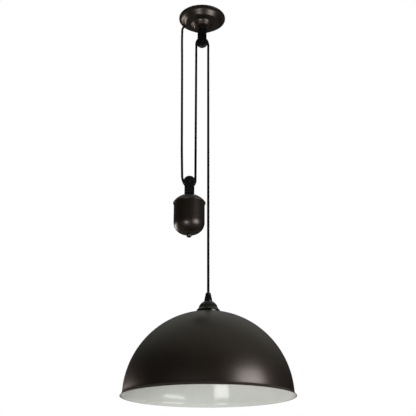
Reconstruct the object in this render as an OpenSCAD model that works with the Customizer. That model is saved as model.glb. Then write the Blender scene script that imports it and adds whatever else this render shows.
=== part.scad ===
// Rise and fall pendant: a dome shade on a flex that runs over a fixed sheave and under a
// travelling one, so that a counterweight of twice the lamp's weight holds it at any height.
// Millimetres. The origin is the middle of the ceiling rose, on the ceiling; +Z is up.

/* [Heights below the ceiling] */
// Height of the lamp's rim below the ceiling
rim_drop = 1019; // [960:1:1060]
// Height of the fixed sheave's axle below the ceiling
upper_axle_drop = 77; // [74:0.5:84]
// Height of the counterweight's axle below the ceiling
weight_axle_drop = 488.5; // [475:0.5:500]

/* [Flex] */
// Diameter of the braided flex
flex_d = 6; // [4:0.1:6.2]
// Radius of the flex's centre line round a sheave
pitch_r = 14; // [13.5:0.1:14.5]
// How far the stiff flex stands off the fixed sheave's axle on the lamp's side
lamp_side_stand = 16.8; // [15.6:0.1:17.5]
// How far it stands off the fixed sheave's axle on the counterweight's side
middle_stand = 15.5; // [15:0.1:16.5]
// How far it stands off the counterweight's axle on the middle run's side
weight_inner_stand = 14.9; // [14.6:0.1:16]
// How far it stands off the counterweight's axle on the fixed run's side
weight_outer_stand = 18.8; // [16:0.1:20]

/* [Ceiling rose] */
// Radius of the rose at the ceiling
rose_r = 63.2; // [60:0.1:70]
// Depth of the rose from the ceiling to the underside of its boss
rose_depth = 30; // [29:0.1:31]
// Wall of the spun rose
rose_wall = 1; // [0.8:0.1:1.2]
// How far the flex outlet stands behind the rose's side, in degrees
outlet_turn = 21; // [18:1:30]
// Distance between the ceiling bracket's two slots
bracket_pitch = 72; // [66:1:76]

/* [Sheaves and yokes] */
// Width of a yoke's arms
yoke_w = 24.5; // [22:0.5:26]
// Distance from a yoke's axle to its flat end
yoke_reach = 37; // [35:0.5:40]
// Thickness of a yoke's arms
yoke_arm = 3; // [2.5:0.1:3.5]
// Gap between a yoke's arms
yoke_gap = 12; // [11.6:0.1:14]
// Radius of an axle
axle_r = 2.5; // [2:0.1:3]
// Outer radius of a sheave
sheave_r = 15; // [14.5:0.1:15.4]

/* [Counterweight] */
// Radius of the counterweight's shell
weight_r = 38.5; // [36:0.5:40]
// Radius of the sphere that the lid is a cap of
lid_sphere_r = 49; // [46:0.5:54]
// Length of the shell's straight side
weight_side = 52; // [40:1:60]
// Depth of the shell's rounded bottom
weight_bowl = 32; // [26:1:36]
// How far the iron ballast stops below the shell's edge, which sets the balance
ballast_gap = 5.2; // [1:0.1:20]

/* [Lamp] */
// Outer radius of the dome
dome_r = 195; // [180:1:210]
// Radius of the flared rim
rim_r = 200; // [186:1:216]
// Wall of the spun steel shade
shade_wall = 0.6; // [0.6:0.05:1.2]
// Radius of the hole in the top of the shade
shade_hole_r = 20; // [19.8:0.1:21]
// Inner radius of the lamp socket's screw shell
socket_r = 13.3; // [13:0.05:13.5]

/* [Hidden] */

$fn = 72;

flex_r = flex_d / 2;
bronze = [0.17, 0.14, 0.12];
black = [0.06, 0.06, 0.06];
steel = [0.62, 0.62, 0.64];
brass = [0.78, 0.62, 0.3];
ceramic_white = [0.92, 0.9, 0.86];
nylon = [0.85, 0.84, 0.8];
iron = [0.3, 0.3, 0.31];
live_brown = [0.4, 0.22, 0.12];
neutral_blue = [0.12, 0.25, 0.6];
earth_green = [0.35, 0.6, 0.2];

// Where the lamp, the middle run and the counterweight hang, across the view
lamp_x = lamp_side_stand;
middle_x = -middle_stand;
weight_x = middle_x - weight_inner_stand;

upper_axle_z = -upper_axle_drop;
weight_axle_z = -weight_axle_drop;

// ---------------------------------------------------------------- helpers

function unit(v) = v / norm(v);

function reversed(p) = [for (i = [len(p) - 1:-1:0]) p[i]];

// Points round an ellipse from angle a0 to angle a1, n steps
function arc(centre, rx, ry, a0, a1, n) =
    [for (i = [0:n]) let (a = a0 + (a1 - a0) * i / n) centre + [rx * cos(a), ry * sin(a)]];

// The normal of a profile at its point i, to the left of its direction
function normal_at(p, i) =
    let (d = unit(p[min(i + 1, len(p) - 1)] - p[max(i - 1, 0)])) [-d[1], d[0]];

// A closed outline round a wall of thickness t on the left of profile p
function wall_outline(p, t) =
    concat(p, reversed([for (i = [0:len(p) - 1]) p[i] + t * normal_at(p, i)]));

// A thin solid of revolution
module spun(profile, t) {
    rotate_extrude() polygon(wall_outline(profile, t));
}

// Points of a smooth curve through p, n steps between neighbours
function spline(p, n) =
    concat([for (i = [0:len(p) - 2], k = [0:n - 1])
        let (a = p[max(i - 1, 0)], b = p[i], c = p[i + 1], d = p[min(i + 2, len(p) - 1)], t = k / n)
        b + (c - a) / 2 * t
          + (a - 2.5 * b + 2 * c - d / 2) * t * t
          + (-a / 2 + 1.5 * b - 1.5 * c + d / 2) * t * t * t],
    [p[len(p) - 1]]);

// A round solid swept along points; its end faces are square to the directions given
module tube(points, r, start_dir, end_dir, sides = 12) {
    last = len(points) - 1;
    function direction(i) =
        i == 0 ? unit(start_dir) :
        i == last ? unit(end_dir) : unit(points[i + 1] - points[i - 1]);
    function ring(i) =
        let (t = direction(i), u = unit(cross([0, 1, 0.001], t)), v = cross(t, u))
        [for (k = [0:sides - 1])
            points[i] + r * (cos(360 * k / sides) * u + sin(360 * k / sides) * v)];
    polyhedron(
        points = [for (i = [0:last], q = ring(i)) q],
        faces = concat(
            [[for (k = [0:sides - 1]) k]],
            [[for (k = [sides - 1:-1:0]) last * sides + k]],
            [for (i = [0:last - 1], k = [0:sides - 1])
                let (a = i * sides + k, b = i * sides + (k + 1) % sides)
                [a, a + sides, b + sides, b]]));
}

module hex_nut(across_flats, height, bore_r) {
    difference() {
        cylinder(d = across_flats / cos(30), h = height, $fn = 6);
        translate([0, 0, -1]) cylinder(r = bore_r, h = height + 2);
    }
}

// ---------------------------------------------------------------- flex route

// The flex lies on a sheave for 60 degrees each side of the middle, then bends more gently
// until it runs upright at its stand-off from the axle.
hug = 60;
flare_steps = 5;

function flare_r(stand) = (stand - pitch_r * sin(hug)) / (1 - sin(hug));

// Points of the gentle bend, from the sheave to the upright run, for a flex that goes
// down from a sheave (up = -1) or up from one (up = 1), on the side given
function flare(stand, side, up) = let (r2 = flare_r(stand))
    [for (i = [0:flare_steps]) let (a = hug + (90 - hug) * i / flare_steps)
        [side * (pitch_r * sin(hug) + r2 * (sin(a) - sin(hug))), 0,
         -up * (pitch_r * cos(hug) - r2 * (cos(hug) - cos(a)))]];

function shifted(p, v) = [for (q = p) q + v];

upper_axle_at = [0, 0, upper_axle_z];
weight_axle_at = [weight_x, 0, weight_axle_z];

// Outlet in the rose's side: it stands square on the sloping flank
flank_top = [55.1, -4.5];
flank_foot = [46.1, -15.7];
flank_normal = unit([flank_top[1] - flank_foot[1], flank_foot[0] - flank_top[0]]);
outlet_mid = (flank_top + flank_foot) / 2;
gland_out = 3;
gland_in = 3.4;
gland_r = 4.4;
gland_seat = 0.7;
outlet_bend_r = 16;
outlet_steps = 5;
outlet_pitch = acos(flank_normal[0]);

// From a place in the upright plane through the outlet, [distance from the axis, z]
function in_outlet_plane(p) =
    [-p[0] * cos(outlet_turn), p[0] * sin(outlet_turn), p[1]];

gland_end = outlet_mid + gland_out * flank_normal;
outlet_bend = [for (i = [0:outlet_steps])
    let (a = outlet_pitch + (90 - outlet_pitch) * i / outlet_steps)
    in_outlet_plane(gland_end + outlet_bend_r
        * [sin(a) - sin(outlet_pitch), cos(a) - cos(outlet_pitch)])];

// The fixed run from below the outlet to above the counterweight's sheave
fixed_run_route = [
    [-55.2, 19.6, -60],
    [-54.2, 16.6, -120],
    [-53.3, 13, -190],
    [-52.6, 9.9, -254],
    [-51.8, 6.6, -325],
    [-51, 3.4, -395],
    [-50, 1.1, -440]
];

// Where the flex goes inside the rose, in the outlet's plane
tail_route = [[33, -5], [37.4, -5], [41.4, -5.2], [44.8, -5.7]];

// ---------------------------------------------------------------- ceiling set

bracket_w = 20;
bracket_t = 2;
bracket_half = 48;
bracket_mid_z = -12;
stud_r = 5;
slot_r = 2.3;
slot_length = 10;

module ceiling_bracket() color(steel) {
    difference() {
        union() {
            // Strap that drops from the ceiling to its middle, where the stud hangs
            rotate([90, 0, 90]) linear_extrude(bracket_w, center = true) polygon([
                [-bracket_half, 0], [-26, 0], [-18, bracket_mid_z + bracket_t],
                [18, bracket_mid_z + bracket_t], [26, 0], [bracket_half, 0],
                [bracket_half, -bracket_t], [24.6, -bracket_t], [16.6, bracket_mid_z],
                [-16.6, bracket_mid_z], [-24.6, -bracket_t], [-bracket_half, -bracket_t]]);
            // Tab that carries the terminal block
            translate([bracket_w / 2 - 1, -13, bracket_mid_z]) cube([28, 26, bracket_t]);
        }
        translate([0, 0, bracket_mid_z - 1]) cylinder(r = stud_r, h = bracket_t + 2);
        for (side = [-1, 1]) translate([0, side * bracket_pitch / 2, -bracket_t - 1]) {
            for (end = [-1, 1]) translate([0, end * (slot_length / 2 - slot_r), 0])
                cylinder(r = slot_r, h = bracket_t + 2);
            translate([-slot_r, -(slot_length / 2 - slot_r), 0])
                cube([2 * slot_r, slot_length - 2 * slot_r, bracket_t + 2]);
        }
        translate([earth_at[0], earth_at[1], bracket_mid_z - 1])
            cylinder(r = 2, h = bracket_t + 2);
    }
}

yoke_base = 8;
stud_top_z = -1.5;

module hanging_stud() color(steel)
    translate([0, 0, upper_axle_z + yoke_reach - yoke_base])
        cylinder(r = stud_r, h = stud_top_z - (upper_axle_z + yoke_reach - yoke_base));

module stud_nuts() color(steel) {
    translate([0, 0, bracket_mid_z + bracket_t]) hex_nut(17, 7, stud_r);
    translate([0, 0, bracket_mid_z - 6]) hex_nut(17, 6, stud_r);
}

// The rose's boss, and the radius of its lower edge
boss_r = 24.3;
boss_edge_r = 6.4;

// The rose's outside, from its edge at the ceiling inwards and down to the boss
rose_profile = concat(
    [[rose_r, 0], [rose_r, -1.8]],
    arc([rose_r - 1.6, -1.8], 1.6, 1.6, -20, -90, 5),
    [[58.2, -3.4], [56.8, -3.4], flank_top, [52.1, -8.2], [49.1, -12], flank_foot],
    arc([41.5, -12], 5.9, 5.9, -46, -84, 5),
    [[38, -18.2], [32, -18.4], [29.6, -18.5]],
    [[28, -19.4], [26.6, -21], [25, -23.4]],
    arc([boss_r - boss_edge_r, boss_edge_r - rose_depth], boss_edge_r, boss_edge_r, -18, -90, 6),
    [[stud_r, -rose_depth]]);

module rose() color(bronze) difference() {
    spun(rose_profile, -rose_wall);
    outlet_place() translate([0, 0, -6]) cylinder(r = gland_r + 0.1, h = 12);
}

// Puts its children in the outlet, with +Z out of the rose
module outlet_place() {
    translate(in_outlet_plane(outlet_mid))
        rotate([0, 0, 180 - outlet_turn])
            rotate([0, 90 + outlet_pitch, 0])
                children();
}

// The gland goes through the rose's wall, with a sloped flange outside and a nut inside
module flex_gland() color(black) outlet_place() difference() {
    union() {
        translate([0, 0, -gland_in]) cylinder(r = gland_r, h = gland_in + gland_out);
        translate([0, 0, gland_seat]) cylinder(r1 = 6.4, r2 = 5, h = gland_out - gland_seat);
        translate([0, 0, -gland_in]) cylinder(r = 5.6, h = 1.8);
    }
    translate([0, 0, -gland_in - 1]) cylinder(r = flex_r, h = gland_in + gland_out + 2);
}

rose_nut_h = -rose_depth - (upper_axle_z + yoke_reach);

rose_nut_r = 11.2;
rose_nut_waist_r = 10.4;

// A round nut under the boss, with a groove round its middle
module rose_nut() color(black) translate([0, 0, upper_axle_z + yoke_reach])
    rotate_extrude() polygon(concat(
        [[stud_r, 0], [rose_nut_r - 0.2, 0], [rose_nut_r, 0.6]],
        [[rose_nut_r, 0.32 * rose_nut_h], [rose_nut_waist_r, 0.38 * rose_nut_h]],
        [[rose_nut_waist_r, 0.62 * rose_nut_h], [rose_nut_r, 0.68 * rose_nut_h]],
        [[rose_nut_r, rose_nut_h - 0.6], [rose_nut_r - 0.6, rose_nut_h], [stud_r, rose_nut_h]]));

block_at = [18, -12, bracket_mid_z + bracket_t];
block_size = [14, 24, 8.5];
pole_pitch = 8;
pole_r = 1.6;
pole_z = 3.6;

module terminal_block() color(nylon) translate(block_at) difference() {
    cube(block_size);
    for (pole = [0:2]) translate([0, block_size[1] / 2 + (pole - 1) * pole_pitch, 0]) {
        translate([-1, 0, pole_z]) rotate([0, 90, 0]) cylinder(r = pole_r, h = block_size[0] + 2);
        for (x = [3.5, 10.5]) translate([x, 0, pole_z]) cylinder(r = 1.4, h = block_size[2]);
    }
}

module terminal_screws() color(brass) translate(block_at) {
    for (pole = [0:2], x = [3.5, 10.5])
        translate([x, block_size[1] / 2 + (pole - 1) * pole_pitch, pole_z + 1.7])
            difference() {
                cylinder(r = 1.3, h = 2.6);
                translate([-2, -0.3, 1.8]) cube([4, 0.6, 2]);
            }
}

earth_at = [-5.5, 12.6];

module earth_screw() color(brass) translate([earth_at[0], earth_at[1], bracket_mid_z]) {
    translate([0, 0, -1]) cylinder(r = 2, h = bracket_t + 1);
    difference() {
        translate([0, 0, bracket_t]) cylinder(r = 3.6, h = 2.2);
        translate([-4, -0.4, bracket_t + 1.2]) cube([8, 0.8, 2]);
    }
}

module rose_flex_tail() color(black) {
    inner = [for (p = tail_route) in_outlet_plane(p)];
    mouth = in_outlet_plane(gland_end);
    out_dir = in_outlet_plane(flank_normal);
    straight = [for (back = [3.9, 2, 0]) in_outlet_plane(outlet_mid - back * flank_normal)];
    tube(concat(inner, straight, [mouth]), flex_r - 0.02, inner[1] - inner[0], out_dir);
}

// The flex's three cores lie in a triangle, this far from its middle
core_r = 1.25;
wire_r = 0.9;
tail_end = in_outlet_plane(tail_route[0]);

// Across the flex at its end in the rose, and along it inwards
tail_across = [sin(outlet_turn), cos(outlet_turn), 0];
tail_inward = [cos(outlet_turn), -sin(outlet_turn), 0];

function core_at(turn) = tail_end + core_r * (cos(turn) * tail_across + [0, 0, sin(turn)]);

module wire(route, start_dir, end_dir, hue) color(hue)
    tube(spline(route, 2), wire_r, start_dir, end_dir, sides = 8);

module rose_wire_live() wire([core_at(30), [-25, 14.2, -4.4], [-17, 15.2, -5.4],
    [-7, 15.8, -6], [7, 15, -6.6], [13.4, 11, -6.6], [17.9, 8, -6.4]],
    tail_inward, [1, 0, 0], live_brown);

module rose_wire_neutral() wire([core_at(150), [-25, 11, -3.8], [-16, 11.4, -3.8],
    [-6, 12.4, -3.8], [4, 12, -4], [12, 4.6, -5.6], [17.9, 0, -6.4]],
    tail_inward, [1, 0, 0], neutral_blue);

module rose_wire_earth() wire([core_at(-90), [-25, 12, -7.2], [-17, 12, -8.6],
    [-12.5, 12.4, -8.9], [-9.3, 12.6, -8.9]], tail_inward, [1, 0, 0], earth_green);

// ---------------------------------------------------------------- sheaves and yokes

axle_clear = 0.06;
groove_clear = 0.3;
hub_half = yoke_gap / 2 - 0.5;
cheek = flex_r + 1.8;
yoke_half = yoke_gap / 2 + yoke_arm;
head_r = 4.6;
head_h = 2.6;
nut_flats = 8;
nut_h = 3.6;

// A yoke with its axle on the Y axis at the origin and its flat end at +Z
module yoke(stud_hole_r) {
    difference() {
        union() {
            for (side = [-1, 1])
                translate([0, side > 0 ? yoke_half : -yoke_gap / 2, 0]) rotate([90, 0, 0])
                    linear_extrude(yoke_arm) union() {
                        circle(d = yoke_w);
                        translate([-yoke_w / 2, 0]) square([yoke_w, yoke_reach - yoke_base / 2]);
                    }
            translate([-yoke_w / 2, -yoke_half, yoke_reach - yoke_base])
                cube([yoke_w, 2 * yoke_half, yoke_base]);
        }
        rotate([90, 0, 0]) cylinder(r = axle_r, h = 4 * yoke_half, center = true);
        translate([0, 0, yoke_reach - yoke_base - 1]) cylinder(r = stud_hole_r, h = yoke_base + 2);
        // The flat end's long edges are eased
        for (side = [-1, 1]) translate([0, side * yoke_half, yoke_reach])
            rotate([45, 0, 0]) cube([yoke_w + 2, 1.4, 1.4], center = true);
    }
}

// An axle screw: a slotted round head in front, its plain end in the nut behind
module axle() rotate([90, 0, 0]) {
    translate([0, 0, -yoke_half - nut_h + 0.6]) cylinder(r = axle_r, h = 2 * yoke_half + nut_h - 0.6);
    difference() {
        translate([0, 0, yoke_half]) rotate_extrude() polygon(concat(
            [[0, 0], [head_r, 0]],
            arc([head_r - 1.6, head_h - 1.6], 1.6, 1.6, 0, 80, 5),
            [[0, head_h + 0.1]]));
        translate([0, 0, yoke_half + head_h]) cube([12, 1.1, 2], center = true);
    }
}

module axle_nut() translate([0, yoke_half, 0]) rotate([-90, 0, 0]) difference() {
    union() {
        cylinder(d = nut_flats / cos(30), h = nut_h - 0.6, $fn = 6);
        rotate_extrude() polygon(concat([[0, 0], [nut_flats / 2 - 0.1, 0]],
            arc([0, nut_h - 0.6], nut_flats / 2 - 0.1, 2.2, 0, 90, 8)));
    }
    translate([0, 0, -1]) cylinder(r = axle_r, h = nut_h - 0.6 + 1);
}

module sheave() rotate([90, 0, 0]) difference() {
    rotate_extrude() polygon([
        [axle_r + axle_clear, -hub_half], [5.6, -hub_half], [6.4, -cheek], [sheave_r - 0.6, -cheek],
        [sheave_r, 0.6 - cheek], [sheave_r, cheek - 0.6], [sheave_r - 0.6, cheek], [6.4, cheek],
        [5.6, hub_half], [axle_r + axle_clear, hub_half]]);
    rotate_extrude() translate([pitch_r, 0]) circle(r = flex_r + groove_clear);
    rotate_extrude() polygon([
        [pitch_r, -flex_r - groove_clear], [sheave_r + 1, -flex_r - groove_clear - 0.5],
        [sheave_r + 1, flex_r + groove_clear + 0.5], [pitch_r, flex_r + groove_clear]]);
}

// The stretch of flex that lies on a sheave
module bend() rotate([90, 0, 0]) rotate([0, 0, 90 - hug])
    rotate_extrude(angle = 2 * hug) translate([pitch_r, 0]) circle(r = flex_r);

module upper_yoke() color(black) translate(upper_axle_at) yoke(stud_r);
module upper_axle() color(black) translate(upper_axle_at) axle();
module upper_axle_nut() color(black) translate(upper_axle_at) axle_nut();
module upper_sheave() color(black) translate(upper_axle_at) sheave();
module flex_upper_bend() color(black) translate(upper_axle_at) bend();

module weight_yoke() color(black) translate(weight_axle_at) mirror([0, 0, 1]) yoke(rod_r);
module weight_axle() color(black) translate(weight_axle_at) axle();
module weight_axle_nut() color(black) translate(weight_axle_at) axle_nut();
module weight_sheave() color(black) translate(weight_axle_at) sheave();
module flex_weight_bend() color(black) translate(weight_axle_at) mirror([0, 0, 1]) bend();

// ---------------------------------------------------------------- flex runs

down = [0, 0, -1];
hug_in = [cos(hug), 0, sin(hug)];

module flex_fixed_run() color(black) {
    lower = reversed(shifted(flare(weight_outer_stand, -1, 1), weight_axle_at));
    middle = spline(concat([outlet_bend[outlet_steps]], fixed_run_route, [lower[0]]), 3);
    tube(concat([for (i = [0:outlet_steps - 1]) outlet_bend[i]], middle,
            [for (i = [1:flare_steps]) lower[i]]),
        flex_r, in_outlet_plane(flank_normal), [hug_in[0], 0, -hug_in[2]]);
}

module flex_middle_run() color(black) {
    upper = shifted(flare(middle_stand, -1, -1), upper_axle_at);
    lower = reversed(shifted(flare(weight_inner_stand, 1, 1), weight_axle_at));
    tube(concat(upper, lower), flex_r, [-hug_in[0], 0, -hug_in[2]], [-hug_in[0], 0, -hug_in[2]]);
}

module flex_lamp_run() color(black) {
    upper = shifted(flare(lamp_side_stand, 1, -1), upper_axle_at);
    tube(concat(upper, [[lamp_x, 0, grip_top_z]]), flex_r, [hug_in[0], 0, -hug_in[2]], down);
}

// ---------------------------------------------------------------- counterweight

rod_r = 4;
lid_wall = 1.2;
shell_wall = 1;
lid_seat_z = weight_axle_z - yoke_reach;
lid_flat_r = 9.4;
lid_centre_z = lid_seat_z - sqrt(pow(lid_sphere_r, 2) - pow(lid_flat_r, 2));
lid_edge_r = weight_r + 0.3;
bead_r = 1.8;
bead_z = lid_centre_z + sqrt(pow(lid_sphere_r, 2) - pow(lid_edge_r, 2)) - 3.4;
shell_top_z = bead_z + 1.6;
bowl_z = shell_top_z - weight_side;
bowl_foot_z = bowl_z - weight_bowl;
ballast_top_z = shell_top_z - ballast_gap;

lid_a0 = acos(lid_flat_r / lid_sphere_r);
lid_a1 = acos(lid_edge_r / lid_sphere_r);

module weight_place() translate([weight_x, 0, 0]) children();

module weight_lid() color(bronze) weight_place() {
    rotate_extrude() polygon(concat(
        [[rod_r, lid_seat_z]],
        arc([0, lid_centre_z], lid_sphere_r, lid_sphere_r, lid_a0, lid_a1, 14),
        arc([lid_edge_r + 0.1, bead_z], bead_r, bead_r, 70, -90, 10),
        [[weight_r, bead_z - bead_r], [weight_r, shell_top_z]],
        arc([0, lid_centre_z], lid_sphere_r - lid_wall, lid_sphere_r - lid_wall,
            lid_a1 + 2.2, lid_a0, 14),
        [[rod_r, lid_seat_z - lid_wall]]));
}

// The rounded bottom, a little fuller than an ellipse, from its edge to angle a1, n steps
fullness = 0.92;
function bowl(r, depth, a1, n) =
    [for (i = [0:n]) let (a = a1 * i / n)
        [r * pow(cos(a), fullness), bowl_z - depth * pow(sin(a), fullness)]];

weight_profile = concat(
    [[weight_r, shell_top_z]],
    bowl(weight_r, weight_bowl, 82, 18),
    [[rod_r + 1.2, bowl_foot_z], [rod_r, bowl_foot_z]]);

module weight_shell() color(bronze) weight_place() spun(weight_profile, -shell_wall);

module weight_ballast() color(iron) weight_place() difference() {
    rotate_extrude() polygon(concat(
        [[0, ballast_top_z], [weight_r - shell_wall - 0.1, ballast_top_z]],
        bowl(weight_r - shell_wall - 0.1, weight_bowl - shell_wall - 0.2, 90, 18)));
    translate([0, 0, bowl_foot_z - 1]) cylinder(r = rod_r, h = weight_side + weight_bowl + 4);
}

cap_nut_r = 7.2;

module weight_rod() color(steel) weight_place()
    translate([0, 0, bowl_foot_z - 2.6])
        cylinder(r = rod_r, h = lid_seat_z + yoke_base - bowl_foot_z + 2.6);

module weight_rod_nut() color(steel) weight_place()
    translate([0, 0, lid_seat_z - lid_wall - 5]) hex_nut(13, 5, rod_r);

module weight_cap_nut() color(bronze) weight_place() translate([0, 0, bowl_foot_z]) {
    difference() {
        rotate_extrude() polygon(concat(
            [[0, 0.35], [cap_nut_r, -0.35], [cap_nut_r, -1.4]],
            arc([0, -1.4], cap_nut_r, cap_nut_r - 0.8, 0, -90, 9)));
        translate([0, 0, -2.6]) cylinder(r = rod_r, h = 4);
    }
}

// ---------------------------------------------------------------- lamp

lip_drop = 0.5;
dome_z = -rim_drop + lip_drop;
dome_top_z = dome_z + dome_r;
lip_rise = 7.5;
cap_crown = 4.5;
grip_base_r = 10.2;
grip_top_r = 6.3;
collet_r = 4.4;
cap_top_z = dome_top_z + 25.2;
grip_top_z = cap_top_z + 21.8;
skirt_r = 19.4;
skirt_wall = 2.6;
skirt_top_z = dome_top_z + 13;
skirt_foot_z = dome_top_z - 42;
insert_floor_z = dome_top_z - 14;
shell_foot_z = skirt_foot_z + 2;
shell_length = 22;
shell_wall_t = 0.5;
contact_drop = 3.4;
contact_t = 0.6;
insert_r = skirt_r - skirt_wall - 0.2;

module lamp_place() translate([lamp_x, 0, 0]) children();

// Height of the dome's outside at distance r from the lamp's axis
function dome_height(r) = dome_z + sqrt(pow(dome_r, 2) - r * r);

// The shade's outside, from its flared rim up over the dome to the hole
shade_profile = concat(
    [[rim_r - 0.7, dome_z - lip_drop], [rim_r, dome_z + 0.2], [rim_r - 0.6, dome_z + 1]],
    [[rim_r - 3, dome_z + 3.2], [rim_r - 5, dome_z + 5.6]],
    arc([0, dome_z], dome_r, dome_r, asin(lip_rise / dome_r), acos(shade_hole_r / dome_r), 40));

module shade() color(bronze) lamp_place() spun(shade_profile, shade_wall);

module shade_ring() color(black) lamp_place() rotate_extrude() polygon([
    [skirt_r, dome_height(27) - shade_wall - 0.2], [26.6, dome_height(27) - shade_wall - 0.2],
    [27, dome_height(27) - 1.2], [27, dome_height(27) - 7], [26, dome_height(27) - 8],
    [skirt_r, dome_height(27) - 8]]);

// The phenolic cap: a bell over the holder with a brim that stands on the shade. Its outside is
// given as distances from the axis and heights above the top of the dome.
cap_side = [[12.3, 24.7], [15.3, 22.6], [18.1, 19.9], [20.1, 17.3], [21.3, 14.9], [22.2, 12.5],
    [23.1, 10.1], [24.5, 7.9], [26.4, 5.9], [27.8, 4.2], [28.4, 2.4]];
cap_outside = concat(
    [[grip_base_r - 3.5, cap_top_z], [grip_base_r + 0.5, cap_top_z]],
    [for (p = cap_side) [p[0], dome_top_z + p[1]]],
    [for (r = [28.4, 25.4, 22.4, skirt_r]) [r, dome_height(r) + 0.05]]);

module holder_cap() color(black) lamp_place() rotate_extrude() polygon(concat(
    cap_outside,
    [[skirt_r, skirt_top_z], [17, skirt_top_z], [17, cap_top_z - 9]],
    [[13, cap_top_z - cap_crown], [grip_base_r - 3.5, cap_top_z - cap_crown]]));

module cord_grip() color(black) lamp_place() difference() {
    union() {
        rotate_extrude() polygon(concat(
            [[0, cap_top_z], [grip_base_r, cap_top_z], [grip_base_r, cap_top_z + 1.2]],
            arc([grip_top_r - 1.6, grip_top_z - 1.8], 1.6, 1.8, 10, 90, 5),
            [[0, grip_top_z]]));
        translate([0, 0, cap_top_z - 6]) cylinder(r = grip_base_r - 3.5, h = 7);
    }
    translate([0, 0, cap_top_z - 8]) cylinder(r = flex_r + 0.1, h = grip_top_z - cap_top_z + 10);
    translate([0, 0, cap_top_z - 7]) cylinder(r = collet_r + 0.1, h = 21);
    // Four flats that a spanner or fingers turn it by
    for (turn = [0:90:270]) rotate([0, 0, turn])
        translate([grip_base_r - 0.9, -6, cap_top_z + 2.4]) cube([4, 12, 9]);
}

module grip_collet() color(nylon) lamp_place() translate([0, 0, cap_top_z - 5]) difference() {
    cylinder(r = collet_r, h = 18);
    translate([0, 0, -1]) cylinder(r = flex_r, h = 20);
}

module lamp_flex_tail() color(black) lamp_place()
    translate([0, 0, cap_top_z - 8]) cylinder(r = flex_r, h = grip_top_z - cap_top_z + 8);

module holder_skirt() color(black) lamp_place() rotate_extrude() polygon([
    [skirt_r - skirt_wall, skirt_top_z], [skirt_r, skirt_top_z], [skirt_r, skirt_foot_z + 8],
    [skirt_r - 0.9, skirt_foot_z + 6.6], [skirt_r - 0.9, skirt_foot_z + 1],
    [skirt_r - 1.6, skirt_foot_z], [skirt_r - skirt_wall, skirt_foot_z]]);

module holder_insert() color(ceramic_white) lamp_place() difference() {
    translate([0, 0, shell_foot_z]) cylinder(r = insert_r, h = dome_top_z + 4 - shell_foot_z);
    translate([0, 0, shell_foot_z - 1])
        cylinder(r = socket_r + shell_wall_t, h = insert_floor_z - shell_foot_z + 1);
    for (side = [-1, 1]) translate([side * 8, 0, insert_floor_z - 1]) cylinder(r = 2, h = 20);
}

module screw_shell() color(brass) lamp_place() translate([0, 0, shell_foot_z]) difference() {
    cylinder(r = socket_r + shell_wall_t, h = shell_length);
    translate([0, 0, -1]) cylinder(r = socket_r, h = shell_length + 2);
}

// A bent spring on the insert's floor, above the screw shell
module centre_contact() color(brass) lamp_place() translate([0, 0, insert_floor_z])
    rotate([90, 0, 0]) linear_extrude(5, center = true) polygon([
        [-10, 0], [-10, -contact_t], [-5.4, -contact_t], [-1.6, 0.2 - contact_drop],
        [2.6, -contact_drop], [2.6, contact_t - contact_drop],
        [-1.4, 0.2 + contact_t - contact_drop], [-5.2, 0]]);

module holder_terminals() color(brass) lamp_place()
    for (side = [-1, 1]) translate([side * 8, 0, insert_floor_z]) {
        cylinder(r = 2, h = dome_top_z + 4 - insert_floor_z);
        translate([0, 0, dome_top_z + 4 - insert_floor_z]) difference() {
            cylinder(r = 3.4, h = 3.4);
            translate([-4, -0.4, 2.4]) cube([8, 0.8, 2]);
        }
    }

module holder_wire(side, hue) wire([
    [lamp_x + side * 1.2, 0, cap_top_z - 8], [lamp_x + side * 1.3, 0, cap_top_z - 11],
    [lamp_x + side * 1.5, 0, dome_top_z + 11], [lamp_x + side * 2.2, 0, dome_top_z + 7],
    [lamp_x + side * 4.5, 0, dome_top_z + 5.7]], down, [side, 0, 0], hue);

module holder_wire_live() holder_wire(1, live_brown);
module holder_wire_neutral() holder_wire(-1, neutral_blue);

// ---------------------------------------------------------------- the object

ceiling_bracket();
hanging_stud();
stud_nuts();
rose();
rose_nut();
flex_gland();
terminal_block();
terminal_screws();
earth_screw();
rose_flex_tail();
rose_wire_live();
rose_wire_neutral();
rose_wire_earth();
upper_yoke();
upper_axle();
upper_axle_nut();
upper_sheave();
flex_fixed_run();
flex_weight_bend();
flex_middle_run();
flex_upper_bend();
flex_lamp_run();
weight_yoke();
weight_axle();
weight_axle_nut();
weight_sheave();
weight_lid();
weight_shell();
weight_ballast();
weight_rod();
weight_rod_nut();
weight_cap_nut();
cord_grip();
grip_collet();
lamp_flex_tail();
holder_cap();
holder_skirt();
shade_ring();
shade();
holder_insert();
screw_shell();
centre_contact();
holder_terminals();
holder_wire_live();
holder_wire_neutral();
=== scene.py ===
import math

import bmesh
import bpy
from mathutils import Matrix, Vector


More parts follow.
